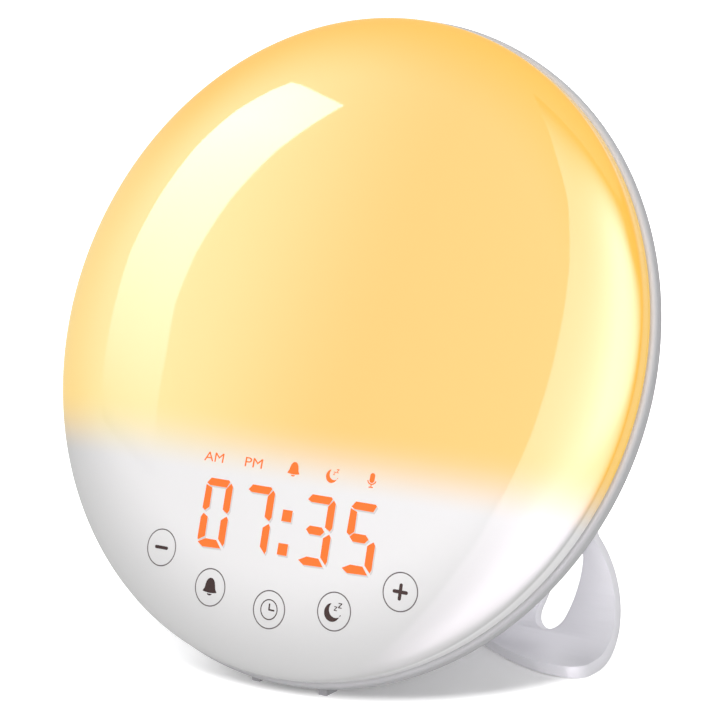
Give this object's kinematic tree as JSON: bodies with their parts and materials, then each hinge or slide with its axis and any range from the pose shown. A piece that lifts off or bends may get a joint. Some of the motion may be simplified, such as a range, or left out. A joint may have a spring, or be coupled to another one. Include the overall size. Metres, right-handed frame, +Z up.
{
  "type": "sunrise alarm clock",
  "caption": "Round sunrise alarm clock: a glowing milky dome with a lit clock display and touch keys, leaning back on small feet and a plug-in stand.",
  "frame": {"origin": "on the surface the clock stands on, under the middle of its width and depth", "axes": "+X to the right when the lit face is looked at; +Y from the face to the back, so the face looks along -Y and upwards; +Z up"},
  "size_m": [0.1746, 0.0944, 0.1666],
  "materials": {
    "dome": "milky translucent gloss",
    "housing": "white, semi-gloss",
    "stand_plastic": "pale grey, satin",
    "inner_plastic": "white, matt",
    "circuit_board": "solder mask",
    "screw_steel": "zinc plated",
    "lamp_chip": "phosphor coated",
    "display_light": "lit orange",
    "chip_black": "moulded, matt",
    "capacitor_can": "bare can",
    "ribbon": "grey flat cable",
    "foam": "soft foam",
    "speaker_metal": "black paint",
    "speaker_paper": "coated paper",
    "magnet": "sintered",
    "socket_black": "moulded, matt",
    "contact_metal": "nickel plated",
    "button_plastic": "pale grey, satin",
    "foot_rubber": "soft, pale grey"
  },
  "bodies": {
    "clock_body": {"diffuser_dome": "dome", "rear_housing": "housing", "case_screws": "screw_steel", "light_tray": "inner_plastic", "light_shield": "inner_plastic", "led_board": "circuit_board", "led_packages": "lamp_chip", "lamp_screws": "screw_steel", "display_board": "circuit_board", "display_block": "inner_plastic", "display_segments": "display_light", "indicator_guides": "display_light", "touch_pillars": "inner_plastic", "display_screws": "screw_steel", "main_board": "circuit_board", "main_board_screws": "screw_steel", "main_board_chips": "chip_black", "capacitors": "capacitor_can", "display_ribbon": "ribbon", "speaker_gasket": "foam", "speaker_basket": "speaker_metal", "speaker_cone": "speaker_paper", "speaker_magnet": "magnet", "speaker_screws": "screw_steel", "port_board": "circuit_board", "port_screws": "screw_steel", "power_inlet": "socket_black", "inlet_pin": "contact_metal", "usb_socket": "contact_metal", "usb_tongue": "socket_black", "button_board": "circuit_board", "tact_switches": "chip_black", "button_board_screws": "screw_steel", "coin_cell": "contact_metal", "cell_holder": "inner_plastic", "cell_contacts": "contact_metal", "front_feet": "foot_rubber"},
    "stand": {"stand": "stand_plastic", "stand_pads": "foot_rubber"},
    "battery_door": {"battery_door": "housing"},
    "light_button": {"light_button": "button_plastic"},
    "sound_button": {"sound_button": "button_plastic"},
    "radio_button": {"radio_button": "button_plastic"}
  },
  "joints": [
    {"name": "stand_pull", "type": "slide", "parent": "clock_body", "child": "stand", "axis": [0, 0.9348, -0.3551], "range_m": [0, 0.012]},
    {"name": "battery_door_turn", "type": "hinge", "parent": "clock_body", "child": "battery_door", "pos_m": [0.039, 0.03034, 0.07736], "axis": [0, 0.9348, -0.3551], "range_deg": [0, 60]},
    {"name": "light_press", "type": "slide", "parent": "clock_body", "child": "light_button", "axis": [0, -0.9348, 0.3551], "range_m": [0, 0.0006], "stiffness_N_per_m": 500, "springref_m": -0.002},
    {"name": "sound_press", "type": "slide", "parent": "clock_body", "child": "sound_button", "axis": [0, -0.9348, 0.3551], "range_m": [0, 0.0006], "stiffness_N_per_m": 500, "springref_m": -0.002},
    {"name": "radio_press", "type": "slide", "parent": "clock_body", "child": "radio_button", "axis": [0, -0.9348, 0.3551], "range_m": [0, 0.0006], "stiffness_N_per_m": 500, "springref_m": -0.002}
  ]
}
